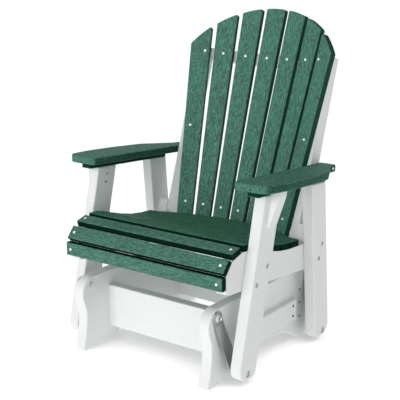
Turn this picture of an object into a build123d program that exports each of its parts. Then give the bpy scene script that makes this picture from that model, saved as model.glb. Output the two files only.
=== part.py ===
"""Glider armchair: a fixed base, four joggled swing links and a slatted chair that hangs on them.

X runs across the chair, Y from its front to its back, Z up, in millimetres. The origin is the
middle of the floor under the whole part. Left is the side at negative X.
"""
from build123d import *
import math
import os

# Stock and fits
board_thick = 38.0          # side panels, boards, legs, rails and posts
leg_width = 89.0
slat_thick = 22.0
edge_bevel = 2.5            # eased edges of every board
side_gap = 0.3              # links to what they swing between
bore_fit = 0.08             # radial, eyes and bores on their bolts
overrun = 6.0               # cutting tools past the faces they cut

# Base: two side panels, two boards between them, a cleat outside each panel
base_inner_half = 235.0
base_length = 625.0
front_foot_length = 156.0   # the front feet are longer than the rear ones
rear_foot_length = 100.0
front_relief_shoulder = 214.0   # from the panel's end, where the relief's slope ends
rear_relief_shoulder = 184.0
relief_shoulder_height = 43.0
relief_height = 56.0        # at the middle of the relief
relief_shoulder_round = 60.0
relief_crown_share = 0.315  # of the run from shoulder to middle, taken by the crown's round
waist_inset = 19.0          # the end's outline draws in at the waist
waist_height = 122.0
head_inset = 3.0            # and swells again under the top corner
head_round = 54.0
end_board_foot = 48.0
end_board_height = 147.0
front_board_inset = 132.0
rear_board_inset = 71.0
cleat_thick = 19.0
cleat_height = 72.0
cleat_foot = 80.0
cleat_front_inset = 153.0
cleat_rear_inset = 142.0

# Swing links
pivot_inset = 44.0          # upper pivots from the panel's ends
pivot_drop = 27.0           # and below its top
link_length = 190.0         # between the two eyes
link_width = 42.0
link_thick = 5.0
joggle_start = 24.0         # from each eye to the bend
joggle_round = 30.0
front_link_rest = 16.82     # degrees, lower eye behind the upper one
rear_link_rest = -7.1       # degrees, lower eye ahead of the upper one
rear_eye_play = 3.0         # radial, opens the loop at the rear feet

# Pivot bolts
bolt_radius = 5.0
bolt_head_radius = 9.0
bolt_head_height = 6.5
nut_height = 8.0
thread_end = 3.0            # bolt past its nut
spacer_radius = 12.0
recess_radius = 11.0
recess_depth = 9.0

# Legs, measured from the foot pivots
rail_clearance = 3.0        # seat rail to base panel
front_lean = 13.9           # degrees, top behind foot
rear_lean = -5.1            # degrees, top ahead of foot
front_foot_inset = 46.5     # front edge to pivot, across the leg
rear_foot_inset = 51.0
front_foot_drop = 19.5      # pivot to the leg's lower end
rear_foot_drop = 16.0
floor_clearance = 18.63     # front legs over the floor
foot_toe_round = 38.0       # outer corner of each foot
foot_heel_round = 24.0

# Bolts that hold the legs to the seat rails
leg_bolt_head_radius = 6.5
leg_bolt_head_height = 4.5
leg_recess_radius = 8.0
leg_recess_depth = 7.0
front_bolt_stagger = 24.0   # each side of the leg's middle line
rear_low_stagger = -9.0
rear_high_stagger = 15.0
front_bolt_low = 274.0
front_bolt_high = 320.0
rear_bolt_low = 267.0
rear_bolt_high = 314.0

# Seat: nine slats on two contoured rails, from the front edge round to the back
seat_side_gap = 2.0         # slat ends to the legs
seat_start_behind = -63.3   # underside of the front slat, from the front foot pivot
seat_start_above = 279.4
front_slat_widths = (43.0, 46.0, 43.0, 43.0)
seat_to_back = 107.5        # last slat to the back's surface at its lower screws
seat_gap = 7.5
seat_turn_degrees = (90.0, 49.5, 15.5, -4.5, -17.5, -17.0, -13.5, -7.5, -3.0)
seat_gap_share = (0.07, 1.25, 1.6, 1.0, 1.0, 1.0, 1.0, 1.0)
rail_front_below = 18.0     # rail's front edge below the front slat
rail_front_round = 16.0
rail_slope_degrees = -4.86
tail_foot = -66.0           # rail's upright tail, up the back from the lower screws
tail_top = -5.0
post_front = 48.0           # front of the tail and of the post, ahead of the back's surface
back_curve_gap = 22.0       # last slat's curved edge to the back

# Back: seven fan slats on a cupped surface, two rails and two posts
back_behind_foot = 0.86     # surface at the lower screw row, from the rear foot pivot
back_above = 358.2          # and above the front one
back_lean = 18.58           # degrees
cup_radius = 589.0
back_slat_count = 7
screw_row_span = 548.0      # lower to upper screw row
fan_pitch_shares = (0.25604, 0.31868)   # at the lower and upper screws, of the base's half width
fan_width_shares = (0.21062, 0.26044)
back_slat_tail = 78.0       # slats below the lower screw row
arch_height = 726.0
arch_radius_share = 1.32234             # also of the base's half width
slat_corner_round = 5.0
slat_let_in = 1.6           # rails are seated round the slats by this much
lower_rail_top = -42.0
lower_rail_front = 28.0
lower_rail_rear = 62.0
post_rear = 14.0
post_top = 565.0
top_rail_depth = 45.0

# Arms
arm_front_behind = 24.0     # from the front foot pivot
arm_front_above = 589.3
arm_slope_degrees = 4.0
arm_thick = 25.0
arm_past_foot = 89.5        # tail behind the rear foot pivot
arm_nose_width = 115.0
arm_width = 129.0
arm_heel_width = 116.0
arm_tail_width = 57.0
arm_swell_start = 100.0     # from the front edge
arm_swell_end = 294.0       # this and the next two from the tail
arm_heel = 153.0
arm_tail = 34.0
arm_nose_round = 34.0
arm_corner_round = 12.0
arm_side_round = 200.0
strip_thick = 19.0
strip_start = 25.0
strip_end = 98.0            # from the arm's tail
bracket_overhang = 6.0      # plank past the bracket
bracket_height = 118.0
bracket_toe = 11.0
bracket_lip = 20.0

# Places across the chair that follow from the sizes above
panel_outer = base_inner_half + board_thick
rail_inner = panel_outer + rail_clearance
leg_inner = rail_inner + board_thick
leg_outer = leg_inner + board_thick
spacer_length = leg_inner - panel_outer - cleat_thick - link_thick - rail_clearance - rail_clearance
link_top_x = panel_outer + side_gap + link_thick / 2
link_foot_x = leg_inner - spacer_length - side_gap - link_thick / 2
post_inner = rail_inner - board_thick
post_outer = rail_inner
seat_half_width = leg_inner - seat_side_gap
bracket_reach = arm_nose_width + post_outer - leg_outer - bracket_overhang
fan_pitch_low, fan_pitch_high = (share * panel_outer for share in fan_pitch_shares)
fan_width_low, fan_width_high = (share * panel_outer for share in fan_width_shares)
arch_radius = arch_radius_share * panel_outer


def turned(length, degrees):
    """A length turned up from the rearward direction, as (rearward, up)."""
    angle = math.radians(degrees)
    return (length * math.cos(angle), length * math.sin(angle))


def hung(pivot, degrees):
    """The lower eye of a link that hangs from pivot, swung rearward by degrees."""
    angle = math.radians(degrees)
    return (pivot[0] + link_length * math.sin(angle), pivot[1] - link_length * math.cos(angle))


def across(face, x_start, thickness):
    """A side view face made solid along X."""
    return extrude(Plane.YZ.offset(x_start) * face, amount=thickness)


def side_outline(points, radii):
    return make_face(FilletPolyline(*points, radius=radii, close=True))


def eased(part, axis):
    """The part with the outlines of its two end faces along axis bevelled."""
    ends = part.faces().sort_by(axis)
    return chamfer(ends[0].edges() + ends[-1].edges(), edge_bevel)


def rod(x_start, x_end, radius, at):
    """A round bar along X at a (rearward, up) place."""
    return across(Pos(at[0], at[1]) * Circle(radius), x_start, x_end - x_start)


def hexagon(x_start, x_end, radius, at):
    return across(Pos(at[0], at[1]) * RegularPolygon(radius, 6), x_start, x_end - x_start)


def mirrored(part):
    return mirror(part, about=Plane.YZ)


# Pivots, in the base's side view with zero at the middle of the base
base_height = floor_clearance + front_foot_drop + pivot_drop + link_length * math.cos(math.radians(front_link_rest))
front_pivot = (pivot_inset - base_length / 2, base_height - pivot_drop)
rear_pivot = (base_length / 2 - pivot_inset, base_height - pivot_drop)
front_foot = hung(front_pivot, front_link_rest)
rear_foot = hung(rear_pivot, rear_link_rest)
chair_place = Pos(0, front_foot[0], front_foot[1])
rear_foot_in_chair = (rear_foot[0] - front_foot[0], rear_foot[1] - front_foot[1])
foot_places = ((0, 0), rear_foot_in_chair)
back_behind = rear_foot_in_chair[0] + back_behind_foot
arm_length = (rear_foot_in_chair[0] + arm_past_foot - arm_front_behind) / math.cos(
    math.radians(arm_slope_degrees))


def base_panel():
    """The right side panel: curved ends, feet with a relief between, flat top."""
    half = base_length / 2
    toe = (-half, 0)
    waist = (waist_inset - half, waist_height)
    head = (head_inset - half, base_height - head_round)
    top = (head_inset + head_round - half, base_height)
    bend = ((waist[0] + head[0]) / 2, (waist[1] + head[1]) / 2)
    end = [TangentArc(waist, toe, tangent=(0, -1)), TangentArc(waist, bend, tangent=(0, 1)),
           TangentArc(head, bend, tangent=(0, -1)), TangentArc(head, top, tangent=(0, 1))]
    front_shoulder = (front_relief_shoulder - half, relief_shoulder_height)
    rear_shoulder = (half - rear_relief_shoulder, relief_shoulder_height)
    crown = ((front_shoulder[0] + rear_shoulder[0]) / 2, relief_height)
    crown_run = rear_shoulder[0] - crown[0]
    crown_round = relief_crown_share * crown_run ** 2 / (relief_height - relief_shoulder_height)
    relief = FilletPolyline(toe, (front_foot_length - half, 0), front_shoulder, crown, rear_shoulder,
                            (half - rear_foot_length, 0), (-toe[0], 0),
                            radius=[0, relief_shoulder_round, crown_round, relief_shoulder_round, 0])
    far_end = [mirror(arc, about=Plane.YZ) for arc in end]
    outline = make_face(end + far_end + [Line(top, (-top[0], top[1])), relief])
    panel = eased(across(outline, base_inner_half, board_thick), Axis.X)
    for pivot in (front_pivot, rear_pivot):
        panel -= rod(base_inner_half - overrun, panel_outer + overrun, bolt_radius + bore_fit, pivot)
    return panel


def end_board(y_start):
    board = Pos(0, y_start, end_board_foot) * Box(base_inner_half * 2, board_thick, end_board_height,
                                                  align=(Align.CENTER, Align.MIN, Align.MIN))
    return chamfer(board.edges().filter_by(Axis.X), edge_bevel)


def cleat():
    length = base_length - cleat_front_inset - cleat_rear_inset
    bar = Pos(panel_outer, cleat_front_inset - base_length / 2, cleat_foot) * Box(
        cleat_thick, length, cleat_height, align=(Align.MIN, Align.MIN, Align.MIN))
    return chamfer(bar.faces().sort_by(Axis.X)[-1].edges(), edge_bevel)


def swing_link(pivot, rest_degrees, lower_bore):
    """A flat strap with a joggle, from an eye beside the panel to an eye beside the leg."""
    half = link_width / 2
    run = FilletPolyline((link_top_x, half), (link_top_x, -joggle_start),
                         (link_foot_x, joggle_start - link_length), (link_foot_x, -link_length - half),
                         radius=joggle_round)
    strap = extrude(Plane.XZ * trace(run, link_thick), amount=half, both=True)
    plan = Pos(0, -link_length / 2) * Rot(0, 0, 90) * SlotCenterToCenter(link_length, link_width)
    strap &= across(plan, panel_outer, leg_inner - panel_outer)
    strap -= rod(panel_outer, leg_inner, bolt_radius + bore_fit, (0, 0)) - Pos(
        0, 0, -link_length) * Box(leg_outer * 2, link_length, link_length)
    strap -= rod(panel_outer, leg_inner, lower_bore, (0, -link_length))
    return Pos(0, pivot[0], pivot[1]) * Rot(rest_degrees, 0, 0) * strap


def swing_bolt(pivot):
    """Bolt of an upper pivot with its nut, its head inside the panel."""
    nut_side = panel_outer + side_gap + link_thick + side_gap
    bolt = hexagon(base_inner_half - bolt_head_height, base_inner_half, bolt_head_radius, pivot)
    bolt += rod(base_inner_half, nut_side + nut_height + thread_end, bolt_radius, pivot)
    return bolt + hexagon(nut_side, nut_side + nut_height, bolt_head_radius, pivot)


def foot_bolt(place):
    """Bolt of a foot pivot with its spacer and nut, its head in the leg's recess."""
    seat = leg_outer - recess_depth
    nut_side = leg_inner - spacer_length - side_gap - link_thick - side_gap
    bolt = hexagon(seat, seat + bolt_head_height, bolt_head_radius, place)
    bolt += rod(nut_side - nut_height, seat, bolt_radius, place)
    bolt += rod(leg_inner - spacer_length, leg_inner, spacer_radius, place)
    return bolt + hexagon(nut_side - nut_height, nut_side, bolt_head_radius, place)


# Chair side view, with zero at the front foot pivot
arm_plane = Plane(origin=(0, arm_front_behind, arm_front_above), x_dir=(1, 0, 0),
                  z_dir=(0, math.sin(math.radians(arm_slope_degrees)),
                         math.cos(math.radians(arm_slope_degrees))))
back_plane = Plane(origin=(0, back_behind, back_above), x_dir=(1, 0, 0),
                   z_dir=(0, -math.cos(math.radians(back_lean)), math.sin(math.radians(back_lean))))


def under_arm(depth):
    """A (rearward, up) point and direction of the line at depth below the arm's top."""
    start = arm_plane.from_local_coords((0, 0, -depth))
    slope = math.tan(math.radians(arm_slope_degrees))
    return start.Y, start.Z, -slope


def leg_line(pivot, lean, offset, height_line):
    """Where the leg's edge at offset behind the pivot meets a line (y, z, slope)."""
    angle = math.radians(lean)
    y = pivot[0] + offset * math.cos(angle)
    z = pivot[1] - offset * math.sin(angle)
    y_line, z_line, slope = height_line
    step = (z_line - z + slope * (y - y_line)) / (math.cos(angle) - slope * math.sin(angle))
    return (y + step * math.sin(angle), z + step * math.cos(angle))


def leg_bolt_place(pivot, lean, inset, height, stagger):
    """A bolt at height above the pivot, at stagger behind the leg's middle line."""
    angle = math.radians(lean)
    offset = leg_width / 2 - inset + stagger
    return (pivot[0] + offset * math.cos(angle) + height * math.tan(angle), pivot[1] + height)


def leg(pivot, lean, inset, drop, rounds, bolt_places):
    """The right leg at one foot pivot, cut level at the foot and under the arm's strip."""
    floor_line = (pivot[0], pivot[1] - drop, 0)
    top_line = under_arm(arm_thick + strip_thick)
    corners = [leg_line(pivot, lean, offset, line)
               for offset, line in ((-inset, floor_line), (leg_width - inset, floor_line),
                                    (leg_width - inset, top_line), (-inset, top_line))]
    board = across(side_outline(corners, [rounds[0], rounds[1], 0, 0]), leg_inner, board_thick)
    board = eased(board, Axis.X)
    board -= rod(leg_inner, leg_outer, bolt_radius + bore_fit, pivot)
    board -= rod(leg_outer - recess_depth, leg_outer, recess_radius, pivot)
    for place in bolt_places:
        board -= rod(leg_outer - leg_recess_depth, leg_outer, leg_recess_radius, place)
    return board


def leg_bolt(place):
    """The head of a bolt that holds a leg to its seat rail."""
    seat = leg_outer - leg_recess_depth
    return hexagon(seat, seat + leg_bolt_head_height, leg_bolt_head_radius, place)


def seat_slat_width():
    """The width of the slats on the seat's top, which fill its depth up to the back."""
    turns = seat_turn_degrees
    gaps = sum(turned(seat_gap * share, (turns[index] + turns[index + 1]) / 2)[0]
               for index, share in enumerate(seat_gap_share))
    fronts = sum(turned(width, turn)[0] for width, turn in zip(front_slat_widths, turns))
    depth = back_behind - seat_to_back - seat_start_behind - gaps - fronts
    return depth / sum(math.cos(math.radians(turn)) for turn in turns[len(front_slat_widths):])


def seat_chain():
    """Underside start, turn and width of each seat slat, from the front edge to the back."""
    y, z = seat_start_behind, seat_start_above
    chain = []
    widths = front_slat_widths + (seat_slat_width(),) * (len(seat_turn_degrees) - len(front_slat_widths))
    for index, (turn, width) in enumerate(zip(seat_turn_degrees, widths)):
        chain.append(((y, z), turn, width))
        step = turned(width, turn)
        y, z = y + step[0], z + step[1]
        if index < len(seat_gap_share):
            middle = (turn + seat_turn_degrees[index + 1]) / 2
            step = turned(seat_gap * seat_gap_share[index], middle)
            y, z = y + step[0], z + step[1]
    return chain


def rear_slat_reach(start, turn):
    """Length of the last seat slat along its middle, up to the hollow of the back."""
    along, up = math.cos(math.radians(turn)), math.sin(math.radians(turn))
    tilt = math.tan(math.radians(back_lean))
    surface = back_behind + (start[1] + slat_thick * along - back_above) * tilt
    return (surface + slat_thick * up - back_curve_gap - start[0]) / (along - up * tilt)


def seat_slat(start, turn, width, reach):
    """A seat slat, whose rear edge bulges to reach at its middle where that is past its width."""
    plan = Pos(0, width / 2) * Rectangle(seat_half_width * 2, width)
    if reach > width:
        radius = cup_radius * math.cos(math.radians(back_lean))
        plan += Pos(0, reach - radius) * Circle(radius) & Pos(0, reach / 2) * Rectangle(
            seat_half_width * 2, reach)
    slat = extrude(plan, amount=slat_thick)
    slat = chamfer(slat.faces().sort_by(Axis.Z)[-1].edges(), edge_bevel)
    return Pos(0, start[0], start[1]) * Rot(turn, 0, 0) * slat


def seat_rail():
    """The right seat rail: its top follows the slats, and its tail stands up beside the back."""
    chain = seat_chain()
    points = []
    for start, turn, width in chain:
        step = turned(width, turn)
        points += [start, (start[0] + step[0], start[1] + step[1])]
    for height, forward in ((tail_foot, post_front), (tail_top, post_front), (tail_top, -post_rear)):
        corner = back_plane.from_local_coords((0, height, forward))
        points.append((corner.Y, corner.Z))
    front = (points[0][0], points[0][1] - rail_front_below)
    slope = math.tan(math.radians(rail_slope_degrees))
    tail = (points[-1][0], front[1] + slope * (points[-1][0] - front[0]))
    points = [front] + points + [tail]
    radii = [rail_front_round] + [0] * (len(points) - 1)
    return across(side_outline(points, radii), rail_inner, board_thick)


def fan_angle(index, height):
    """Angle round the cup of a back slat's middle line, at height above the lower screws."""
    share = height / screw_row_span
    pitch = fan_pitch_low + (fan_pitch_high - fan_pitch_low) * share
    return index * pitch / cup_radius


def fan_width(height):
    return fan_width_low + (fan_width_high - fan_width_low) * height / screw_row_span


def fan_point(index, height):
    angle = fan_angle(index, height)
    return Vector(cup_radius * math.sin(angle), height, cup_radius * (1 - math.cos(angle)))


def slat_plane(index):
    """The plane of a back slat's front face, with its origin at the slat's lower end."""
    low = fan_point(index, -back_slat_tail)
    high = fan_point(index, screw_row_span)
    along = (high - low).normalized()
    angle = fan_angle(index, screw_row_span / 2)
    tangent = Vector(math.cos(angle), 0, math.sin(angle))
    sideways = (tangent - along * tangent.dot(along)).normalized()
    return Plane(origin=low, x_dir=sideways, z_dir=sideways.cross(along))


def slat_outline(index):
    """A tapered slat with its top cut to the arch of the whole back."""
    length = arch_height + back_slat_tail
    low_half = fan_width(-back_slat_tail) / 2
    high_half = fan_width(arch_height) / 2
    taper = make_face(Polyline((-low_half, 0), (low_half, 0), (high_half, length),
                               (-high_half, length), close=True))
    lean = math.atan2(index * (fan_pitch_high - fan_pitch_low), screw_row_span)
    aside = -fan_angle(index, -back_slat_tail) * cup_radius
    above = arch_height - arch_radius + back_slat_tail
    centre_x = aside * math.cos(lean) - above * math.sin(lean)
    centre_y = aside * math.sin(lean) + above * math.cos(lean)
    below_arch = Pos(centre_x, centre_y) * (Circle(arch_radius) + Pos(0, -arch_radius * 2) * Rectangle(
        arch_radius * 4, arch_radius * 4))
    outline = taper & below_arch
    upper = outline.vertices().sort_by(Axis.Y)[-2:]
    return fillet(upper, slat_corner_round)


def back_slat(index):
    slat = extrude(slat_outline(index), amount=-slat_thick)
    slat = chamfer(slat.faces().sort_by(Axis.Z)[-1].edges(), edge_bevel)
    return slat_plane(index) * slat


def in_front_of_slat(index):
    """All that lies ahead of the back face of one slat."""
    reach = arch_height * 2
    return slat_plane(index) * Pos(0, 0, -slat_thick) * Box(
        reach, reach, reach, align=(Align.CENTER, Align.CENTER, Align.MIN))


def cross_rail(outline, low_edge, slats):
    """A rail from its plan outline, seated round the slats."""
    rail = extrude(Plane.XZ.offset(-low_edge) * outline, amount=-board_thick)
    for slat in slats:
        rail -= slat
    return rail.solids().sort_by(SortBy.VOLUME)[-1]


def lower_back_rail(slats):
    hollow = cup_radius + slat_thick - slat_let_in
    depth = lower_rail_front + lower_rail_rear
    outline = Pos(0, (lower_rail_front - lower_rail_rear) / 2) * Rectangle(rail_inner * 2, depth)
    outline -= (Pos(0, cup_radius) * Circle(hollow)) & Rectangle(post_inner * 2, cup_radius)
    return cross_rail(outline, lower_rail_top - board_thick, slats)


def top_back_rail(slats):
    hollow = cup_radius + slat_thick - slat_let_in
    band = Pos(0, cup_radius) * (Circle(hollow + slat_let_in + top_rail_depth) - Circle(hollow))
    return cross_rail(band & Rectangle(post_inner * 2, cup_radius), post_top - board_thick, slats)


def back_post(index):
    """The right post, bevelled to the back of the outer slat."""
    height = post_top - lower_rail_top
    depth = post_rear + post_front
    post = Pos(post_inner, lower_rail_top, -post_rear) * Box(
        board_thick, height, depth, align=(Align.MIN, Align.MIN, Align.MIN))
    post = chamfer(post.faces().sort_by(Axis.Z)[0].edges().filter_by(Axis.Y), edge_bevel)
    return post - in_front_of_slat(index)


def arm_plank():
    """The right arm plank in its own plane, front edge at zero and top at zero."""
    points = [(0, 0), (arm_nose_width, 0), (arm_width, arm_swell_start),
              (arm_width, arm_length - arm_swell_end), (arm_heel_width, arm_length - arm_heel),
              (arm_tail_width, arm_length - arm_tail), (arm_tail_width, arm_length), (0, arm_length)]
    radii = [arm_corner_round, arm_nose_round, arm_side_round, arm_side_round, arm_corner_round,
             arm_corner_round, 0, 0]
    plank = extrude(Pos(post_outer, 0) * side_outline(points, radii), amount=-arm_thick)
    return arm_plane * eased(plank, Axis.Z)


def arm_strip():
    length = arm_length - strip_end - strip_start
    strip = Pos(leg_inner, strip_start, -arm_thick) * Box(
        board_thick, length, strip_thick, align=(Align.MIN, Align.MIN, Align.MAX))
    strip = chamfer(strip.faces().sort_by(Axis.Z)[0].edges(), edge_bevel)
    return arm_plane * strip


def arm_bracket():
    """The right bracket: a tapered block on the front leg, under the plank's overhang."""
    top_y, top_z, slope = under_arm(arm_thick)
    middle = leg_line((0, 0), front_lean, leg_width / 2 - front_foot_inset, (top_y, top_z, slope))
    points = [(0, overrun * 4), (bracket_reach, overrun * 4), (bracket_reach, -bracket_lip),
              (bracket_toe, -bracket_height), (0, -bracket_height)]
    block = make_face(FilletPolyline(*points, radius=[0, 0, bracket_lip, edge_bevel, 0], close=True))
    block = extrude(Plane.XZ * block, amount=board_thick / 2, both=True)
    block = Pos(leg_outer, middle[0], middle[1]) * Rot(-front_lean, 0, 0) * block
    cover = arm_plane * Pos(0, 0, -arm_thick) * Box(
        arm_length * 2, arm_length * 2, arm_length, align=(Align.CENTER, Align.CENTER, Align.MIN))
    return block - cover


def build_base():
    nodes = {}
    panel = base_panel()
    side_cleat = cleat()
    nodes["base_side_right"] = [panel]
    nodes["base_side_left"] = [mirrored(panel)]
    nodes["base_cleat_right"] = [side_cleat]
    nodes["base_cleat_left"] = [mirrored(side_cleat)]
    nodes["base_front_board"] = [end_board(front_board_inset - base_length / 2)]
    nodes["base_rear_board"] = [end_board(base_length / 2 - rear_board_inset - board_thick)]
    nodes["swing_bolts"] = []
    for pivot in (front_pivot, rear_pivot):
        bolt = swing_bolt(pivot)
        nodes["swing_bolts"] += [bolt, mirrored(bolt)]
    running = bolt_radius + bore_fit
    for name, pivot, rest, bore in (("front_link", front_pivot, front_link_rest, running),
                                    ("rear_link", rear_pivot, rear_link_rest, bolt_radius + rear_eye_play)):
        link = swing_link(pivot, rest, bore)
        nodes[name + "_right"] = [link]
        nodes[name + "_left"] = [mirrored(link)]
    return nodes


def build_chair():
    nodes = {}
    front_bolts = [leg_bolt_place((0, 0), front_lean, front_foot_inset, height, stagger)
                   for height, stagger in ((front_bolt_low, -front_bolt_stagger),
                                           (front_bolt_high, front_bolt_stagger))]
    rear_bolts = [leg_bolt_place(rear_foot_in_chair, rear_lean, rear_foot_inset, height, stagger)
                  for height, stagger in ((rear_bolt_low, rear_low_stagger),
                                          (rear_bolt_high, rear_high_stagger))]
    sided = {
        "front_leg": leg((0, 0), front_lean, front_foot_inset, front_foot_drop,
                         (foot_toe_round, foot_heel_round), front_bolts),
        "rear_leg": leg(rear_foot_in_chair, rear_lean, rear_foot_inset, rear_foot_drop,
                        (foot_heel_round, foot_toe_round), rear_bolts),
        "seat_rail": seat_rail(),
        "arm": arm_plank(),
        "arm_strip": arm_strip(),
        "arm_bracket": arm_bracket(),
        "back_post": back_plane * back_post((back_slat_count - 1) // 2),
    }
    for name, piece in sided.items():
        nodes[name + "_right"] = [piece]
        nodes[name + "_left"] = [mirrored(piece)]
    chain = seat_chain()
    for number, (start, turn, width) in enumerate(chain, 1):
        reach = rear_slat_reach(start, turn) if number == len(chain) else width
        nodes[f"seat_slat_{number}"] = [seat_slat(start, turn, width, reach)]
    slats = [back_slat(index - (back_slat_count - 1) // 2) for index in range(back_slat_count)]
    for number, slat in enumerate(slats, 1):
        nodes[f"back_slat_{number}"] = [back_plane * slat]
    nodes["lower_back_rail"] = [back_plane * lower_back_rail(slats)]
    nodes["top_back_rail"] = [back_plane * top_back_rail(slats)]
    nodes["leg_bolts"] = []
    for place in front_bolts + rear_bolts:
        bolt = leg_bolt(place)
        nodes["leg_bolts"] += [bolt, mirrored(bolt)]
    nodes["foot_bolts"] = []
    for place in foot_places:
        bolt = foot_bolt(place)
        nodes["foot_bolts"] += [bolt, mirrored(bolt)]
    return {name: [chair_place * piece for piece in pieces] for name, pieces in nodes.items()}


def main():
    nodes = build_base()
    nodes.update(build_chair())
    solids = {name: [solid for piece in pieces for solid in piece.solids()]
              for name, pieces in nodes.items()}
    box = Compound([solid for group in solids.values() for solid in group]).bounding_box()
    middle = Pos(0, -(box.min.Y + box.max.Y) / 2, -box.min.Z)
    os.makedirs("parts", exist_ok=True)
    for name, group in solids.items():
        placed = [middle * solid for solid in group]
        export_step(placed[0] if len(placed) == 1 else Compound(placed), f"parts/{name}.step")
    shift = middle.position.Y
    print("size", [round(value, 1) for value in (box.size.X, box.size.Y, box.size.Z)])
    for name, place in (("front pivot", front_pivot), ("rear pivot", rear_pivot),
                        ("front foot", front_foot), ("rear foot", rear_foot)):
        print(name, round(place[0] + shift, 4), round(place[1], 4))


main()
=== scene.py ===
# %% [markdown]
# # A glider armchair in plastic lumber
# The chair hangs on four steel links from a white base, and its seat, back and arms are green.
# The boards themselves come from the CAD model, so their shapes and joints are right from the
# start. What is left to do here is everything that the eye reads as material: the embossed grain
# of the boards, the screws that hold them, the satin steel, and soft light on a white floor.

# %% Load the CAD frame
import bpy, bmesh, math
from mathutils import Matrix, Vector


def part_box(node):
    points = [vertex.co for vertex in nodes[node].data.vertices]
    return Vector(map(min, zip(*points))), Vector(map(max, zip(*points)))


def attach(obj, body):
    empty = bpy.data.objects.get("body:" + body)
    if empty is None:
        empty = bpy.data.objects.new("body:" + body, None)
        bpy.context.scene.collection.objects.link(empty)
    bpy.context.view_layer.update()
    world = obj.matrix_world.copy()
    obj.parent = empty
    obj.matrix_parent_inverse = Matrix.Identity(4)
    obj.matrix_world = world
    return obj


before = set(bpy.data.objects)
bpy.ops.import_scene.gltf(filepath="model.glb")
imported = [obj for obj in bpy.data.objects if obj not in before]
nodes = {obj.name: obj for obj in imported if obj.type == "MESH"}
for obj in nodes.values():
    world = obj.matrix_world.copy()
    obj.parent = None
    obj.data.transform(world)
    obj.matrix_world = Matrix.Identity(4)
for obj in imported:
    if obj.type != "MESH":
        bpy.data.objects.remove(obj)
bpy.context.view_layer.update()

# %% [markdown]
# ## Helpers for materials
# Colours are written as the hex values that a colour picker shows, which are sRGB, while shader
# sockets want linear light, so one function turns one into the other. A node tree could be wired
# by hand in the editor. In a script it reads best when each node is added together with its
# settings and the wires that feed it, so one function does just that, whatever kind of node it
# is asked for. Only the stops of a colour ramp need a loop of their own.

# %% Colours, nodes and ramps
def linear(hex_colour):
    """An sRGB hex colour as linear RGBA."""
    parts = [int(hex_colour[at:at + 2], 16) / 255 for at in (1, 3, 5)]
    return [part / 12.92 if part <= 0.04045 else ((part + 0.055) / 1.055) ** 2.4
            for part in parts] + [1]


def add_node(tree, kind, settings=None, values=None, wires=None):
    """Adds one node, gives it its settings and values, and wires its inputs."""
    node = tree.nodes.new(kind)
    for name, value in (settings or {}).items():
        setattr(node, name, value)
    for name, value in (values or {}).items():
        node.inputs[name].default_value = value
    for name, source in (wires or {}).items():
        tree.links.new(source, node.inputs[name])
    return node


def set_stops(ramp, positions, tones):
    """Gives a colour ramp its stops, from left to right, with their hex colours."""
    stops = ramp.color_ramp.elements
    for position in positions[1:-1]:
        stops.new(position)
    for stop, position, tone in zip(stops, positions, tones):
        stop.position = position
        stop.color = linear(tone)


def new_material(name):
    """A material with an empty node tree, and that tree."""
    material = bpy.data.materials.new(name)
    material.use_nodes = True
    material.node_tree.nodes.clear()
    return material, material.node_tree


print("the boards' white in linear light:", [round(part, 3) for part in linear("#E4E6E6")])

# %% [markdown]
# ## The grain of plastic lumber
# Plastic lumber is recycled HDPE, extruded as a board and rolled with a wood grain while it is
# still warm. Three things show: fine streaks run along the board, short flecks of a browner tone
# lie between them, and soft clouds make each board a little uneven. Pictures of boards could
# give this, but they end somewhere and repeat, and noise doesn't. So each of the three is one
# noise, whose space is drawn out along the board and whose width there is in millimetres.

# %% Noise drawn out along a board
STREAKS = {"width_mm": 2.0, "ratio": 5.5, "detail": 3.0, "roughness": 0.6}
FLECKS = {"width_mm": 2.5, "ratio": 1.6, "detail": 3.0, "roughness": 0.65, "distortion": 0.6}
CLOUDS = {"width_mm": 30.0, "ratio": 2.0, "detail": 2.0, "roughness": 0.5}
NOISE_LOW, NOISE_HIGH = 0.3, 0.7       # nearly all of a noise lies between these


def grain_noise(tree, board, width_mm, ratio, detail, roughness, distortion=0.0):
    """Noise whose spots are width_mm across the grain and ratio times as long along it."""
    waves_per_metre = 1000 / (2 * width_mm)      # a spot is half a wave
    drawn = add_node(tree, "ShaderNodeVectorMath", {"operation": "MULTIPLY"},
                     {1: (1 / ratio, 1, 1)}, {0: board.outputs["Vector"]})
    return add_node(tree, "ShaderNodeTexNoise", None,
                    {"Scale": waves_per_metre, "Detail": detail, "Roughness": roughness,
                     "Distortion": distortion}, {"Vector": drawn.outputs["Vector"]})


print("flecks", FLECKS["width_mm"], "mm wide and", FLECKS["width_mm"] * FLECKS["ratio"], "mm long")

# %% [markdown]
# ## Rolled faces and sawn sides
# The rolls touch the broad faces of a board only. Its sides are sawn, which leaves them smooth,
# and they are given a much deeper colour as painted shade, which makes the dark lines between the
# slats and the shade under the boards. Each side could have a material of its own, with a hard
# border where the two meet. Here the direction in which the surface looks tells one from the
# other, so the look changes softly over a rounded edge.

# %% Tell a rolled face from a sawn side
SAWN_AT, ROLLED_AT = 0.5, 0.68         # how squarely a face lies to the rolls, from 0 to 1


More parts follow.
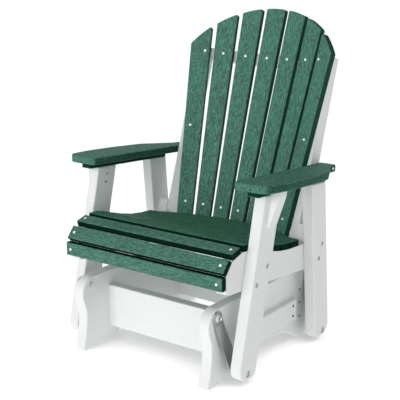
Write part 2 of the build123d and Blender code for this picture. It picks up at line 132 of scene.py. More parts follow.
def rolled_share(tree, place, out, along, look):
    """A node that is 1 on the rolled faces and the look's trace of that on the sawn sides."""
    squareness = []
    for way, share in ((out, 1.0), (along, look["ends"])):
        facing = add_node(tree, "ShaderNodeVectorMath", {"operation": "DOT_PRODUCT"},
                          {1: way * share}, {0: place.outputs["Normal"]})
        squareness.append(add_node(tree, "ShaderNodeMath", {"operation": "ABSOLUTE"}, None,
                                   {0: facing.outputs["Value"]}))
    squarest = add_node(tree, "ShaderNodeMath", {"operation": "MAXIMUM"}, None,
                        {0: squareness[0].outputs["Value"], 1: squareness[1].outputs["Value"]})
    return add_node(tree, "ShaderNodeMapRange", None,
                    {"From Min": SAWN_AT, "From Max": ROLLED_AT, "To Min": look["trace"]},
                    {"Value": squarest.outputs["Value"]})


print("faces within", round(math.degrees(math.acos(ROLLED_AT))), "degrees of the rolls are rolled")

# %% [markdown]
# ## The colour of a rolled face
# HDPE is coloured all through, and the rolls only bring out the mix: a body tone with lighter
# streaks, and browner flecks over both. The clouds then darken and lighten the whole. A painted
# grain would need a second, shinier layer, while one colour that goes all through needs none.

# %% Streaks, flecks and clouds in colour
STREAK_STOPS = (0.36, 0.64)            # the streaks' noise at the body tone and the light one
FLECK_STOPS = (-0.1, 0.05)             # a fleck's heart and edge, from the look's fleck level


def rolled_colour(tree, streak, fleck, cloud, look):
    """The colour of a board's rolled faces, from its three noises."""
    streaked = add_node(tree, "ShaderNodeValToRGB", None, None, {"Fac": streak.outputs["Fac"]})
    set_stops(streaked, STREAK_STOPS, (look["body"], look["light"]))
    flecked = add_node(tree, "ShaderNodeValToRGB", None, None, {"Fac": fleck.outputs["Fac"]})
    set_stops(flecked, [look["flecks"] + stop for stop in FLECK_STOPS], ("#FFFFFF", "#000000"))
    spotted = add_node(tree, "ShaderNodeMix", {"data_type": "RGBA"}, {"B": linear(look["fleck"])},
                       {"Factor": flecked.outputs["Color"], "A": streaked.outputs["Color"]})
    shade = add_node(tree, "ShaderNodeMapRange", None,
                     {"From Min": NOISE_LOW, "From Max": NOISE_HIGH,
                      "To Min": 1 - look["cloud"], "To Max": 1 + look["cloud"]},
                     {"Value": cloud.outputs["Fac"]})
    return add_node(tree, "ShaderNodeMix", {"data_type": "RGBA", "blend_type": "MULTIPLY"},
                    {"Factor": 1.0}, {"A": spotted.outputs["Result"], "B": shade.outputs["Result"]})


print("streaks reach their light tone at", STREAK_STOPS[1], "of their noise")

# %% [markdown]
# ## The lumber
# The gloss is that of a plastic bag turned matt: an IOR of 1.54 with a roughness near one half,
# a little less on the tops of the streaks, which the rolls press flat. Streaks and flecks are
# also pressed in, so the same noises drive the bump. All the boards could share one material,
# but the grain has to run along each, so each gets its own: a Mapping node turns the pattern
# like the board, and also moves it, so that no two boards look alike.

# %% A material for one board
LUMBER_IOR = 1.54                      # polyethylene
BOARD_SHIFT = (0.83, 0.37, 0.19)       # metres from one board's part of the pattern to the next
STREAK_RELIEF, RELIEF_STRENGTH = 0.6, 0.6
DULLER, GLOSSIER = 0.08, 0.05          # roughness between the streaks and on them


def lumber(name, look, grain, face, number):
    """Embossed HDPE lumber for a board whose grain and broad face point the given ways."""
    material, tree = new_material(name)
    along = Vector(grain).normalized()
    out = (Vector(face) - along * along.dot(face)).normalized()
    turn = Matrix((along, out.cross(along), out)).transposed().to_euler()
    place = add_node(tree, "ShaderNodeTexCoord")
    board = add_node(tree, "ShaderNodeMapping", {"vector_type": "TEXTURE"},
                     {"Location": [step * number for step in BOARD_SHIFT], "Rotation": turn},
                     {"Vector": place.outputs["Object"]})
    streak, fleck, cloud = [grain_noise(tree, board, **kind) for kind in (STREAKS, FLECKS, CLOUDS)]
    colour = rolled_colour(tree, streak, fleck, cloud, look)
    rolled = rolled_share(tree, place, out, along, look)
    sheen = add_node(tree, "ShaderNodeMath", {"operation": "MULTIPLY"}, {1: look["sheen"]},
                     {0: rolled.outputs["Result"]})
    # Painted shade: the sawn sides take the look's darkest tone, standing in for the shade between
    # and under the boards.
    shaded_skin_colour = add_node(tree, "ShaderNodeMix", {"data_type": "RGBA"},
                           {"A": linear(look["sawn"])},
                           {"Factor": rolled.outputs["Result"], "B": colour.outputs["Result"]})
    relief = add_node(tree, "ShaderNodeMath", {"operation": "MULTIPLY_ADD"}, {1: STREAK_RELIEF},
                      {0: streak.outputs["Fac"], 2: fleck.outputs["Fac"]})
    bump = add_node(tree, "ShaderNodeBump", None,
                    {"Strength": RELIEF_STRENGTH, "Distance": look["bump_mm"] / 1000},
                    {"Height": relief.outputs["Value"]})
    gloss = add_node(tree, "ShaderNodeMapRange", None,
                     {"From Min": NOISE_LOW, "From Max": NOISE_HIGH,
                      "To Min": look["rough"] + DULLER, "To Max": look["rough"] - GLOSSIER},
                     {"Value": streak.outputs["Fac"]})
    skin = add_node(tree, "ShaderNodeBsdfPrincipled", None, {"IOR": LUMBER_IOR},
                    {"Base Color": shaded_skin_colour.outputs["Result"],
                     "Roughness": gloss.outputs["Result"],
                     "Specular IOR Level": sheen.outputs["Value"],
                     "Normal": bump.outputs["Normal"]})
    add_node(tree, "ShaderNodeOutputMaterial", None, None, {"Surface": skin.outputs["BSDF"]})
    return material


print("roughness changes by", DULLER + GLOSSIER, "from between the streaks to their tops")

# %% [markdown]
# ## The looks of the boards
# The green boards are of one colour, and still they differ in painted light: the seat on top is
# deeper, as painted shade, the back is paler, as painted light, and keeps more painted light on
# its sawn sides, the strips under the arms have dark sides, as painted shade, and the arms have
# eased sides that took some of the rolls' grain. One look with small changes says this better
# than five written out in full. In a look, body and light are the tones of the streaks, fleck is
# the tone of the flecks and flecks the noise level that they begin below, cloud is the depth of
# the clouds, sawn the tone of the sawn sides, darkened as painted shade, trace how much of
# the rolled look these keep, ends is 1 where sawn ends count as rolled, bump_mm is the depth of
# the grain, rough its roughness, and sheen the specular level. The white boards are pressed more
# lightly, and their streaks hardly show.

# %% Green and white
GREEN = {"body": "#326655", "light": "#548A78", "fleck": "#414D43", "flecks": 0.465,
         "cloud": 0.07, "sawn": "#04241A", "trace": 0.04, "ends": 0.0, "bump_mm": 0.4,
         "rough": 0.6, "sheen": 0.12}
# painted shade: the seat's tones are deeper than those of the front slats
GREEN_SEAT_PAINTED_SHADE = dict(GREEN, body="#29624F", light="#47806A", sheen=0.04)
# painted light: the back's tones and its sawn sides are paler
GREEN_BACK_PAINTED_LIGHT = dict(GREEN, body="#346A58", light="#568F7C", fleck="#435047", sawn="#173B2D",
                  trace=0.12)
GREEN_ARM = dict(GREEN, sawn="#12352A", trace=0.46, ends=1.0, sheen=0.07)
# painted shade: the strips under the arms have dark sides
GREEN_STRIP = dict(GREEN, sawn="#0A3325")
WHITE = {"body": "#E4E6E6", "light": "#E7E9E9", "fleck": "#DFE1E1", "flecks": 0.42,
         "cloud": 0.006, "sawn": "#E3E5E5", "trace": 0.5, "ends": 0.0, "bump_mm": 0.1,
         "rough": 0.5, "sheen": 0.22}
FRONT_SLATS = ("seat_slat_1", "seat_slat_2", "seat_slat_3")      # those that roll over the front
LOOKS = ((FRONT_SLATS, GREEN), ("seat_slat", GREEN_SEAT_PAINTED_SHADE), ("back_slat", GREEN_BACK_PAINTED_LIGHT),
         ("arm_strip", GREEN_STRIP), (("arm_left", "arm_right"), GREEN_ARM), ("", WHITE))


def look_of(name):
    """The look of a board: that of the first row which the board's name starts like."""
    return next(look for start, look in LOOKS if name.startswith(start))


print("an arm's sawn sides keep", GREEN_ARM["trace"], "of the rolled look")

# %% [markdown]
# ## Directions round the chair
# The grain of a board follows the length that it was extruded along. That length could be read
# off each mesh as its longest side, but the shaped boards would mislead such a guess. The angles
# here are those that the chair is built to, so the grain stays true to every board's edges. Most
# boards lie in the side view, where one angle is enough, turned up from straight to the rear.

# %% Angles in the side view
def pitched(degrees):
    """A direction in the side view, turned up from the rearward direction."""
    return Vector((0, math.cos(math.radians(degrees)), math.sin(math.radians(degrees))))


ACROSS, REARWARD = Vector((1, 0, 0)), Vector((0, 1, 0))
ARM_PITCH, RAIL_PITCH = -4, -4.86                  # arms and seat rails fall to the rear
FRONT_LEG_PITCH, REAR_LEG_PITCH = 76.1, 95.1
SEAT_TURNS = (90.0, 49.5, 15.5, -4.5, -17.5, -17.0, -13.5, -7.5, -3.0)     # slats, from the front
BACK_LEAN = 18.58
BACK_UP, BACK_OUT = pitched(90 - BACK_LEAN), -pitched(-BACK_LEAN)
print("up the back is", [round(part, 3) for part in BACK_UP])

# %% [markdown]
# ## The cup of the back
# The seven back slats fan out on a hollow cup, so each points its own way. A point of the cup is
# given as on the bench: so far round it from the middle, and so far up from the lower screws.

# %% Points on the cup
CUP_MM, ROW_MM = 589.0, 548.0                      # the cup's radius, from screw row to screw row
FAN_LOW_MM, FAN_MIDDLE_MM, FAN_HIGH_MM = 69.9, 78.4, 87.0      # from slat to slat, round the cup
BACK_SLATS, MIDDLE_SLAT = range(1, 8), 4
BACK_FOOT = Vector((0, 0.15310, 0.3963))           # the cup at the lower row of screws


def on_cup(aside_mm, height_mm):
    """A point of the back's cupped front, from its distance round the cup and up the back."""
    angle = aside_mm / CUP_MM
    depth = CUP_MM * (1 - math.cos(angle))
    from_foot = BACK_UP * height_mm + BACK_OUT * depth + ACROSS * CUP_MM * math.sin(angle)
    return BACK_FOOT + from_foot / 1000


def cup_out(aside_mm):
    """The direction in which the cup's front looks, so far round it."""
    angle = aside_mm / CUP_MM
    return (BACK_OUT * math.cos(angle) - ACROSS * math.sin(angle)).normalized()


print("the cup is", round(2 * CUP_MM / 1000, 3), "m across, its upper screws at",
      [round(part, 3) for part in on_cup(0, ROW_MM)])

# %% [markdown]
# ## Which way each board runs
# Each board now gets two directions: the one of its grain and the one that its broad face looks
# in. Boards that come in a left and a right one share a row, because they mirror each other.

# %% Directions of grain
SIDE_BOARDS = {"arm_": (pitched(ARM_PITCH), pitched(ARM_PITCH + 90)),
               "arm_strip_": (pitched(ARM_PITCH), pitched(ARM_PITCH + 90)),
               "arm_bracket_": (pitched(FRONT_LEG_PITCH), ACROSS),
               "front_leg_": (pitched(FRONT_LEG_PITCH), ACROSS),
               "rear_leg_": (pitched(REAR_LEG_PITCH), ACROSS),
               "back_post_": (BACK_UP, ACROSS),
               "seat_rail_": (pitched(RAIL_PITCH), ACROSS),
               "base_side_": (REARWARD, ACROSS),
               "base_cleat_": (REARWARD, ACROSS)}
directions = {"base_front_board": (ACROSS, REARWARD), "base_rear_board": (ACROSS, REARWARD),
              "top_back_rail": (ACROSS, BACK_OUT), "lower_back_rail": (ACROSS, BACK_OUT)}
for start, ways in SIDE_BOARDS.items():
    for side in ("left", "right"):
        directions[start + side] = ways
for number, turn in enumerate(SEAT_TURNS, 1):
    directions[f"seat_slat_{number}"] = (ACROSS, pitched(turn + 90))
for number in BACK_SLATS:
    aside = number - MIDDLE_SLAT
    low, high = on_cup(aside * FAN_LOW_MM, 0), on_cup(aside * FAN_HIGH_MM, ROW_MM)
    directions[f"back_slat_{number}"] = (high - low, cup_out(aside * FAN_MIDDLE_MM))
print(len(directions), "boards have a direction")

# %% [markdown]
# ## Dress the boards
# Lumber is the only material that a board may wear, so its material slots are cleared before
# the lumber goes on. Boards could be numbered by hand, but they are simply taken in the order of
# their names, and each one's number moves its pattern.

# %% Lumber on every board
def dress(piece, material):
    """Gives a piece this material and no other."""
    piece.data.materials.clear()
    piece.data.materials.append(material)


for number, (name, (grain, face)) in enumerate(sorted(directions.items()), 1):
    batch = "white" if look_of(name) is WHITE else "green"
    dress(nodes[name], lumber(f"{batch}_lumber_{name}", look_of(name), grain, face, number))
print("green boards:", sum(look_of(name) is not WHITE for name in directions))

# %% [markdown]
# ## The steel
# The links are flat bar, zinc plated and tumbled, which leaves a satin face with fine lines
# along the bar. The bolt heads are plated too, and a little duller. The screws in the base are a
# dull zinc, drawn darker still as painted shade on their heads, and the swing nuts and their
# flanges are turned stainless, the brightest. A metal has no colour beneath its reflection, so
# what differs is the tone of the reflection and the roughness, from about a fifth on the turned
# nuts to 0.4 on the screws, and all keep the shader's own IOR. Real lines are a tenth of a
# millimetre apart, too fine to show from here, so they are drawn about a millimetre apart.

# %% Steel with fine lines
LINE_SQUEEZE = 0.06                    # draws the lines out along the height of the part
SMOOTHER, ROUGHER = 0.06, 0.1          # roughness on a line's two sides
LINE_STRENGTH, LINE_DEPTH = 0.3, 0.0001


def satin_steel(name, colour, line_mm, roughness):
    """Steel with fine lines, line_mm apart, along the height of the part."""
    material, tree = new_material(name)
    place = add_node(tree, "ShaderNodeTexCoord")
    long = add_node(tree, "ShaderNodeMapping", None, {"Scale": (1.0, 1.0, LINE_SQUEEZE)},
                    {"Vector": place.outputs["Object"]})
    lines = add_node(tree, "ShaderNodeTexNoise", None, {"Scale": 1000 / line_mm, "Detail": 3.0},
                     {"Vector": long.outputs["Vector"]})
    gloss = add_node(tree, "ShaderNodeMapRange", None,
                     {"From Min": NOISE_LOW, "From Max": NOISE_HIGH,
                      "To Min": roughness - SMOOTHER, "To Max": roughness + ROUGHER},
                     {"Value": lines.outputs["Fac"]})
    bump = add_node(tree, "ShaderNodeBump", None,
                    {"Strength": LINE_STRENGTH, "Distance": LINE_DEPTH},
                    {"Height": lines.outputs["Fac"]})
    skin = add_node(tree, "ShaderNodeBsdfPrincipled", None,
                    {"Base Color": linear(colour), "Metallic": 1.0},
                    {"Roughness": gloss.outputs["Result"], "Normal": bump.outputs["Normal"]})
    add_node(tree, "ShaderNodeOutputMaterial", None, None, {"Surface": skin.outputs["BSDF"]})
    return material


link_steel = satin_steel("zinc_plated_bar", "#ADAFB0", 1.2, 0.3)
bolt_steel = satin_steel("turned_stainless", "#DDDFE0", 0.8, 0.28)
head_steel = satin_steel("zinc_plated_heads", "#A6A9AA", 0.8, 0.36)
# Painted shade: the base screws' steel is drawn dark, standing in for shade on their heads.
shaded_screw_steel = satin_steel("dull_zinc_screws_painted_shade", "#6E7072", 0.8, 0.4)
print("steels:", [steel.name for steel in (link_steel, bolt_steel, head_steel, shaded_screw_steel)])

# %% [markdown]
# ## The painted ring in a swing nut
# Where the threaded end of a swing bolt comes out of its nut, a narrow groove stays between
# them. The solid is bolt and nut in one and has no groove. It could be cut in, but it is only
# two millimetres wide, so its shade is painted as a dark ring, with a painted highlight on the
# thread's end inside it and the nut's tone outside, by the distance from the pivot's axis, on the
# outer side alone. The front and rear pivots are as far from the middle of the base as each
# other, so one distance serves all four.

# %% Paint the ring of shade and highlight
FRONT_PIVOT_Y, REAR_PIVOT_Y, PIVOT_Z = -0.36128, 0.17572, 0.22000
NUT_FROM_X = 0.27                      # the nuts lie further out than this
SHANK_TONE = "#C6C8C9"
RING_REACH = 0.01                      # metres from the pivot's axis, over which the stops run
RING_STOPS = (0.46, 0.54, 0.66, 0.76)
# painted highlight on the thread's end, painted shade in the groove, then the nut's tone
HIGHLIGHT_AND_SHADE_TONES = ("#F4F5F5", "#2C2E2F", "#2C2E2F", "#DCDEDF")      # thread, groove, groove, nut


def paint_groove_shade_and_thread_highlight(material):
    """Draws a dark ring round the threaded end of each swing bolt, on the nut's side."""
    tree = material.node_tree
    place = add_node(tree, "ShaderNodeTexCoord")
    axes = add_node(tree, "ShaderNodeSeparateXYZ", None, None, {0: place.outputs["Object"]})
    from_middle = add_node(tree, "ShaderNodeMath", {"operation": "SUBTRACT"},
                           {1: (FRONT_PIVOT_Y + REAR_PIVOT_Y) / 2}, {0: axes.outputs["Y"]})
    aside = add_node(tree, "ShaderNodeMath", {"operation": "ABSOLUTE"}, None,
                     {0: from_middle.outputs["Value"]})
    beside = add_node(tree, "ShaderNodeCombineXYZ", None, None,
                      {"X": aside.outputs["Value"], "Y": axes.outputs["Z"]})
    away = add_node(tree, "ShaderNodeVectorMath", {"operation": "DISTANCE"},
                    {1: ((REAR_PIVOT_Y - FRONT_PIVOT_Y) / 2, PIVOT_Z, 0)},
                    {0: beside.outputs["Vector"]})
    share = add_node(tree, "ShaderNodeMapRange", None, {"From Max": RING_REACH},
                     {"Value": away.outputs["Value"]})
    ring = add_node(tree, "ShaderNodeValToRGB", None, None, {"Fac": share.outputs["Result"]})
    set_stops(ring, RING_STOPS, HIGHLIGHT_AND_SHADE_TONES)
    outward = add_node(tree, "ShaderNodeMath", {"operation": "ABSOLUTE"}, None,
                       {0: axes.outputs["X"]})
    nut_side = add_node(tree, "ShaderNodeMath", {"operation": "GREATER_THAN"}, {1: NUT_FROM_X},
                        {0: outward.outputs["Value"]})
    # Painted shade and highlight: on the nut's side, the ring's tones take the place of the steel's
    # own tone.
    tone = add_node(tree, "ShaderNodeMix", {"data_type": "RGBA"}, {"A": linear(SHANK_TONE)},
                    {"Factor": nut_side.outputs["Value"], "B": ring.outputs["Color"]})
    skin = next(node for node in tree.nodes if node.type == "BSDF_PRINCIPLED")
    tree.links.new(tone.outputs["Result"], skin.inputs["Base Color"])


nut_steel = satin_steel("swing_nut_steel_painted_ring", SHANK_TONE, 0.8, 0.22)
paint_groove_shade_and_thread_highlight(nut_steel)
print("the groove starts", RING_STOPS[1] * RING_REACH * 1000, "mm from the axis")

# %% [markdown]
# ## Dress the links and bolts
# Links and bolts are told by their names. The swing bolts get the steel with the painted ring of
# shade and highlight, and the heads on the legs and feet the duller plated one.

# %% Steel on links and bolts
steel_pieces = [name for name in nodes if "link" in name or name.endswith("bolts")]
for name in steel_pieces:
    if "link" in name:
        dress(nodes[name], link_steel)
    else:
        dress(nodes[name], nut_steel if name == "swing_bolts" else head_steel)
print("steel pieces:", steel_pieces)

# %% [markdown]
# ## A screw head
# The deck screws are made for this lumber: small domed heads with a round socket, 48 of them. A
# squashed sphere would stand for one from afar, but a real head has a flat face with a rim that
# catches the light. So a bmesh circle is extruded into a low drum, its rim is bevelled to a
# dome, and the top is inset and pushed down for the socket. With twelve sides, a head has few
# faces and still looks round.

# %% Shape one screw head
HEAD_MM, RISE_MM, HEAD_SIDES = 4.7, 1.5, 12        # radius, height and sides of a head
DOME_SHARE, SOCKET_SHARE = 0.6, 0.55               # of the height
FACE_SHARE, LIP_SHARE = 0.42, 0.06                 # of the radius


def shape_head(bm):
    """A domed screw head with a socket, standing on the origin."""
    made = bmesh.ops.create_circle(bm, cap_ends=True, segments=HEAD_SIDES, radius=HEAD_MM / 1000)
    cap = made["verts"][0].link_faces[0]
    raised = bmesh.ops.extrude_face_region(bm, geom=[cap])["geom"]
    top = next(item for item in raised if isinstance(item, bmesh.types.BMFace))
    bmesh.ops.translate(bm, verts=top.verts, vec=(0, 0, RISE_MM / 1000))
    bmesh.ops.bevel(bm, geom=list(top.edges), offset=RISE_MM * DOME_SHARE / 1000, segments=2,
                    profile=0.5, affect="EDGES", material=-1)
    flat = [face for face in bm.faces
            if len(face.verts) == HEAD_SIDES and all(vert.co.z > 0 for vert in face.verts)]
    top = max(flat, key=lambda face: face.calc_center_median().z)
    bmesh.ops.inset_region(bm, faces=[top], thickness=HEAD_MM * FACE_SHARE / 1000)
    bmesh.ops.inset_region(bm, faces=[top], thickness=HEAD_MM * LIP_SHARE / 1000,
                           depth=-RISE_MM * SOCKET_SHARE / 1000)


trial = bmesh.new()
shape_head(trial)
print("a head is", HEAD_MM * 2, "mm across,", RISE_MM, "mm high and has", len(trial.faces), "faces")
trial.free()

# %% [markdown]
# ## Heads where they belong
# Each head could be an object of its own, but 48 objects that never move apart are hard to keep
# in order. So the heads of one group are joined in one mesh, each turned to look the way of its
# board's face, and that piece rides on the body that its boards belong to.

# %% Join the heads of one group
def piece_from(bm, name):
    """A new piece from a finished bmesh, with its place in its mesh."""
    mesh = bpy.data.meshes.new(name)
    bm.to_mesh(mesh)
    bm.free()
    piece = bpy.data.objects.new(name, mesh)
    bpy.context.collection.objects.link(piece)
    return piece


def screws(name, body, finish, places):
    """One piece of screw heads, each at its place and looking its way."""
    bm = bmesh.new()
    for place, out in places:
        head = bmesh.new()
        shape_head(head)
        turn = Vector(out).to_track_quat("Z", "Y").to_matrix().to_4x4()
        bmesh.ops.transform(head, matrix=Matrix.Translation(Vector(place)) @ turn, verts=head.verts)
        spare = bpy.data.meshes.new("spare")
        head.to_mesh(spare)
        head.free()
        bm.from_mesh(spare)
        bpy.data.meshes.remove(spare)
    bmesh.ops.recalc_face_normals(bm, faces=bm.faces)
    piece = piece_from(bm, name)
    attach(piece, body)
    dress(piece, finish)
    print(name, len(places), "heads,", len(piece.data.polygons), "faces")


print("new pieces will ride beside", len(nodes), "CAD pieces")

# %% [markdown]
# ## The paint of the screw heads
# On the green boards the heads are dipped in a hard white enamel that is glossier than the
# boards. Plain white would make them look like paper dots, so their gloss and tone vary a little
# in spots of two or three millimetres, as where a driver has rubbed them. The heads on the white
# boards are bare, and wear one of the steels.

# %% White enamel
ENAMEL_IOR, WEAR_MM = 1.5, 2.5
screw_paint, tree = new_material("white_enamel_screw_heads")
place = add_node(tree, "ShaderNodeTexCoord")
wear = add_node(tree, "ShaderNodeTexNoise", None, {"Scale": 1000 / WEAR_MM, "Detail": 2.0},
                {"Vector": place.outputs["Object"]})
gloss = add_node(tree, "ShaderNodeMapRange", None, {"To Min": 0.22, "To Max": 0.42},
                 {"Value": wear.outputs["Fac"]})
tint = add_node(tree, "ShaderNodeMix", {"data_type": "RGBA"},
                {"A": linear("#FBFBFA"), "B": linear("#F1F2F1")}, {"Factor": wear.outputs["Fac"]})
enamel = add_node(tree, "ShaderNodeBsdfPrincipled", None, {"IOR": ENAMEL_IOR},
                  {"Base Color": tint.outputs["Result"], "Roughness": gloss.outputs["Result"]})
add_node(tree, "ShaderNodeOutputMaterial", None, None, {"Surface": enamel.outputs["BSDF"]})
print(screw_paint.name, "is ready")

# %% [markdown]
# ## Where the screws go
# A screw sits on a board's face, so each place is first given roughly and then moved out onto
# the face itself. That face is found from the CAD piece: of all its corners, those that lie
# furthest along the screw's direction belong to it.

# %% Put a point on a face
SAME_FACE = 0.0002                     # metres that corners of one face may differ in reach


def reach_along(name, out):
    """How far a CAD piece reaches along a direction."""
    return max(vert.co.dot(out) for vert in nodes[name].data.vertices)


def on_face(name, point, out):
    """The point moved along out onto the outermost face of a CAD piece."""
    out = Vector(out).normalized()
    return Vector(point) + out * (reach_along(name, out) - Vector(point).dot(out))


def face_middle(name, out):
    """The middle of the outermost face of a CAD piece in direction out."""
    out = Vector(out).normalized()
    reach = reach_along(name, out)
    rim = [vert.co for vert in nodes[name].data.vertices if vert.co.dot(out) > reach - SAME_FACE]
    lowest = Vector([min(co[axis] for co in rim) for axis in range(3)])
    highest = Vector([max(co[axis] for co in rim) for axis in range(3)])
    return (lowest + highest) / 2


front_face = face_middle("seat_slat_1", -REARWARD)
print("seat slat 1 has its face at", [round(value, 3) for value in front_face])

# %% [markdown]
# ## Screws of the seat
# The three slats that roll over the front edge are held by one screw at each end, where the seat
# rail runs underneath. The slats on top show none: they are fixed from below.

# %% Seat screws
SEAT_SCREW_X = 0.293
places = []
for name, turn in zip(FRONT_SLATS, SEAT_TURNS):
    out = pitched(turn + 90)
    middle = face_middle(name, out)
    places += [(middle + ACROSS * SEAT_SCREW_X, out), (middle - ACROSS * SEAT_SCREW_X, out)]
screws("seat_screws", "chair", screw_paint, places)

# %% [markdown]
# ## Screws of the back
# Two rows cross the whole fan, and the two outer slats have one more each, half way up, into the
# posts. The places are given round the cup, in millimetres from the middle, and up the back.

# %% Back screws
UPPER_ROW = ((-242, 1), (-173, 2), (-87, 3), (0, 4), (87, 5), (173, 6), (242, 7))
POST_SCREWS = ((-245, 1), (245, 7))
LOWER_ROW = ((-210, 1), (-142, 2), (-71, 3), (0, 4), (71, 5), (142, 6), (210, 7))
places = []
for row, height in ((UPPER_ROW, ROW_MM), (LOWER_ROW, 0), (POST_SCREWS, ROW_MM / 2)):
    for aside, number in row:
        along, out = directions[f"back_slat_{number}"]
        along = along.normalized()
        out = (out - along * out.dot(along)).normalized()
        places.append((on_face(f"back_slat_{number}", on_cup(aside, height), out), out))
screws("back_screws", "chair", screw_paint, places)

# %% [markdown]
# ## Screws of the base and the arms
# The side panels are screwed to the ends of the two cross boards, three screws to a board, and
# each cleat has two at each end. The brackets under the arms are screwed on from the inside,
# through the legs, and one screw in each arm's tail goes into the post. Left and right are as
# the camera sees them, so right is towards positive X.

# %% Base and arm screws
PANEL_SCREWS = [(rearward, height) for rearward in (0.1277, -0.2463)
                for height in (0.072, 0.121, 0.168)]
CLEAT_SCREWS = [(rearward, height) for rearward in (0.0547, -0.2320) for height in (0.099, 0.134)]
LEG_SCREWS = ((-0.1803, 0.551), (-0.1873, 0.525))
TAIL_X, TAIL_INSET, TAIL_RISE = 0.333, 0.017, 0.0135           # the screw in an arm's tail


def side_screws(name, spots, out):
    """Places on a board that stands fore and aft, from how far rearward and how high they are."""
    return [(on_face(name, (0, rearward, height), out), out) for rearward, height in spots]


base_places, leg_places, arm_places = [], [], []
for side, name in ((1, "right"), (-1, "left")):
    out = ACROSS * side
    base_places += side_screws("base_side_" + name, PANEL_SCREWS, out)
    base_places += side_screws("base_cleat_" + name, CLEAT_SCREWS, out)
    leg_places += side_screws("front_leg_" + name, LEG_SCREWS, -out)
    low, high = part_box("arm_" + name)
    arm_places.append((Vector((side * TAIL_X, high[1] - TAIL_INSET, low[2] + TAIL_RISE)), out))
# the base screws wear the darkened steel, as painted shade
screws("base_screws", "base", shaded_screw_steel, base_places)
screws("leg_screws", "chair", head_steel, leg_places)
screws("arm_screws", "chair", screw_paint, arm_places)

# %% [markdown]
# ## The flange of each swing nut
# The ring that shines round each upper pivot is the flange of its nut. A torus would be round
# where the real one is flat. So the flange's section is drawn as a small rectangle with an eased
# corner, and spun once round the pivot with its ends merged.

# %% Nut flanges
NUT_SIDE, FLANGE = 0.2786, 0.0016                  # the nut's face, and the flange's thickness
INSIDE, OUTSIDE, EASED = 0.0075, 0.0128, 0.0006    # radii of the flange, and its eased corner
SECTION = ((NUT_SIDE, INSIDE), (NUT_SIDE + FLANGE, INSIDE), (NUT_SIDE + FLANGE, OUTSIDE - EASED),
           (NUT_SIDE + FLANGE * 0.5, OUTSIDE), (NUT_SIDE, OUTSIDE))
SPIN_STEPS = 36
bm = bmesh.new()
for side in (1, -1):
    for rearward in (FRONT_PIVOT_Y, REAR_PIVOT_Y):
        corners = [bm.verts.new((side * x, rearward, PIVOT_Z + radius)) for x, radius in SECTION]
        edges = [bm.edges.new(pair) for pair in zip(corners, corners[1:] + corners[:1])]
        bmesh.ops.spin(bm, geom=corners + edges, cent=(0, rearward, PIVOT_Z), axis=(1, 0, 0),
                       angle=math.tau, steps=SPIN_STEPS, use_merge=True)
bmesh.ops.remove_doubles(bm, verts=bm.verts, dist=1e-6)
bmesh.ops.recalc_face_normals(bm, faces=bm.faces)
flanges = piece_from(bm, "swing_nut_flanges")
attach(flanges, "base")
dress(flanges, bolt_steel)
print("flanges:", len(flanges.data.polygons), "faces")

# %% [markdown]
# ## The floor
# The photograph is a product picture on white paper: the floor disappears into the background,
# and only soft shadows are left round the feet and under the base. Strong lamps would whiten the
# floor and burn out the chair with it. So the camera sees a floor that glows by itself and is
# only faintly lit, and Ambient Occlusion takes glow away where the chair closes the floor off:
# once within six centimetres, for the contact, and once within sixty, for the shade under the
# whole chair. To all other rays the floor is matt white paper with a light of its own, as on a
# light table, which lifts the undersides of the boards. In reflections that light is brighter.

# %% A floor that keeps its shadows
FLOOR_HALF = 40                        # metres, so that its edge is out of sight
TABLE, MIRRORED_TABLE = 0.42, 0.8      # the floor's own light on the chair, and in reflections
SHADES = ((0.06, 0.4, 0.9, 0.75),      # reach, openness at full and at no shade, the glow left
          (0.6, 0.22, 0.42, 0.55))
bm = bmesh.new()
bmesh.ops.create_grid(bm, x_segments=1, y_segments=1, size=FLOOR_HALF)
floor = piece_from(bm, "studio_floor")
paper, tree = new_material("white_floor_paper")
shares = []
for reach, shaded_at, open_at, glow_left in SHADES:
    closed = add_node(tree, "ShaderNodeAmbientOcclusion", {"samples": 16}, {"Distance": reach})
    shares.append(add_node(tree, "ShaderNodeMapRange", None,
                           {"From Min": shaded_at, "From Max": open_at, "To Min": glow_left},
                           {"Value": closed.outputs["AO"]}))
shaded = add_node(tree, "ShaderNodeMath", {"operation": "MULTIPLY"}, None,
                  {0: shares[0].outputs["Result"], 1: shares[1].outputs["Result"]})
glow = add_node(tree, "ShaderNodeEmission", None, {"Color": linear("#EBEBEB")},
                {"Strength": shaded.outputs["Value"]})
faint = add_node(tree, "ShaderNodeBsdfDiffuse", None, {"Color": linear("#A8A8A8")})
pictured = add_node(tree, "ShaderNodeAddShader", None, None,
                    {0: glow.outputs[0], 1: faint.outputs[0]})
path = add_node(tree, "ShaderNodeLightPath")
mirrored = add_node(tree, "ShaderNodeMapRange", None, {"To Min": TABLE, "To Max": MIRRORED_TABLE},
                    {"Value": path.outputs["Is Glossy Ray"]})
fill = add_node(tree, "ShaderNodeEmission", None, {"Color": linear("#FFFFFF")},
                {"Strength": mirrored.outputs["Result"]})
matt = add_node(tree, "ShaderNodeBsdfDiffuse", None, {"Color": linear("#F1F1F1")})
table = add_node(tree, "ShaderNodeAddShader", None, None, {0: fill.outputs[0], 1: matt.outputs[0]})
seen = add_node(tree, "ShaderNodeMixShader", None, None,
                {0: path.outputs["Is Camera Ray"], 1: table.outputs[0], 2: pictured.outputs[0]})
add_node(tree, "ShaderNodeOutputMaterial", None, None, {"Surface": seen.outputs[0]})
dress(floor, paper)
print("the floor glows with", TABLE, "on the chair and", MIRRORED_TABLE, "in reflections")

# %% [markdown]
# ## The room
# The background is white to the camera and in reflections, so that the steel mirrors a white
# studio. As light on the chair, white from all round would leave its boards without form. There
# the walls are brighter than the ceiling, and both are a plain grey, graded by the height that a
# ray looks to, which keeps the tops of the boards a little darker than their fronts.

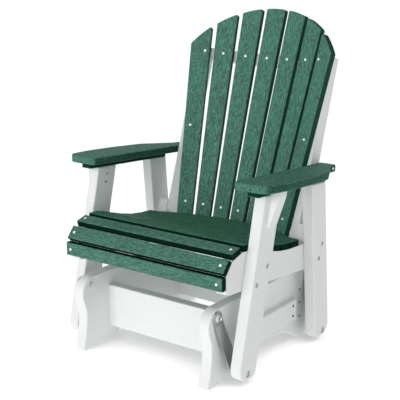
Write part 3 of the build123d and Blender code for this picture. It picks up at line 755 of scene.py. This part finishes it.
# %% A white world with grey light
WALLS, CEILING, CEILING_FROM = 0.62, 0.47, 0.8     # light from the walls, from above, and where
world = bpy.data.worlds.new("white_studio")
bpy.context.scene.world = world
world.use_nodes = True
tree = world.node_tree
tree.nodes.clear()
place = add_node(tree, "ShaderNodeTexCoord")
way = add_node(tree, "ShaderNodeSeparateXYZ", None, None, {0: place.outputs["Generated"]})
graded = add_node(tree, "ShaderNodeMapRange", None,
                  {"From Min": 0.0, "From Max": CEILING_FROM, "To Min": WALLS, "To Max": CEILING},
                  {"Value": way.outputs["Z"]})
path = add_node(tree, "ShaderNodeLightPath")
seen = add_node(tree, "ShaderNodeMath", {"operation": "MAXIMUM"}, None,
                {0: path.outputs["Is Camera Ray"], 1: path.outputs["Is Glossy Ray"]})
level = add_node(tree, "ShaderNodeMix", None, {"B": 1.0},
                 {"Factor": seen.outputs["Value"], "A": graded.outputs["Result"]})
sky = add_node(tree, "ShaderNodeBackground", None, {"Color": linear("#FFFFFF")},
               {"Strength": level.outputs["Result"]})
add_node(tree, "ShaderNodeOutputWorld", None, None, {"Surface": sky.outputs[0]})
print("walls", WALLS, "ceiling", CEILING)

# %% [markdown]
# ## Lamps
# The fronts of the boards are the brightest faces in the photograph, their right-hand sides are
# a light grey, and the tops and the seat are darker. A lamp overhead would turn that round. So
# the main lamp is a large soft one, six metres in front of the chair and not much above the
# camera, and a weak one at the side lifts the right-hand faces.

# %% Two soft lamps
LAMPS_AIM = Vector((0, 0, 0.5))        # the middle of the chair


def soft_lamp(name, place, size, watts):
    """A square lamp that looks at the middle of the chair."""
    lamp = bpy.data.lights.new(name, "AREA")
    lamp.size = size
    lamp.energy = watts
    holder = bpy.data.objects.new(name, lamp)
    bpy.context.collection.objects.link(holder)
    holder.location = place
    holder.rotation_euler = (LAMPS_AIM - Vector(place)).to_track_quat("-Z", "Y").to_euler()


soft_lamp("front_lamp", place=(-0.43, -5.95, 2.0), size=2.9, watts=156)
soft_lamp("side_lamp", place=(3.6, -2.2, 1.2), size=2.0, watts=7)

# %% [markdown]
# ## Camera
# The picture's vanishing lines give the camera: a long lens a little over three metres away,
# 36 degrees to the side of positive X and 15 degrees above the chair. It could be set by eye,
# but then the boards' proportions would hide its errors, and the other way round.

# %% The photograph's viewpoint
SENSOR_MM = 36
FOCAL_SHARE = 986.35 / 400             # focal length in image widths
ROLL = -0.15                           # degrees
camera_data = bpy.data.cameras.new("camera")
camera_data.sensor_width = SENSOR_MM
camera_data.lens = SENSOR_MM * FOCAL_SHARE
camera = bpy.data.objects.new("camera", camera_data)
bpy.context.collection.objects.link(camera)
camera.location = (1.8785, -2.62728, 1.3187)
aim = Vector((0.0438, -0.13228, 0.5029)) - camera.location
upright = aim.to_track_quat("-Z", "Y").to_matrix()
camera.rotation_euler = (upright @ Matrix.Rotation(math.radians(ROLL), 3, "Z")).to_euler()
bpy.context.scene.camera = camera
bpy.context.scene.view_settings.view_transform = "Standard"
print("lens", round(camera_data.lens, 1), "mm")
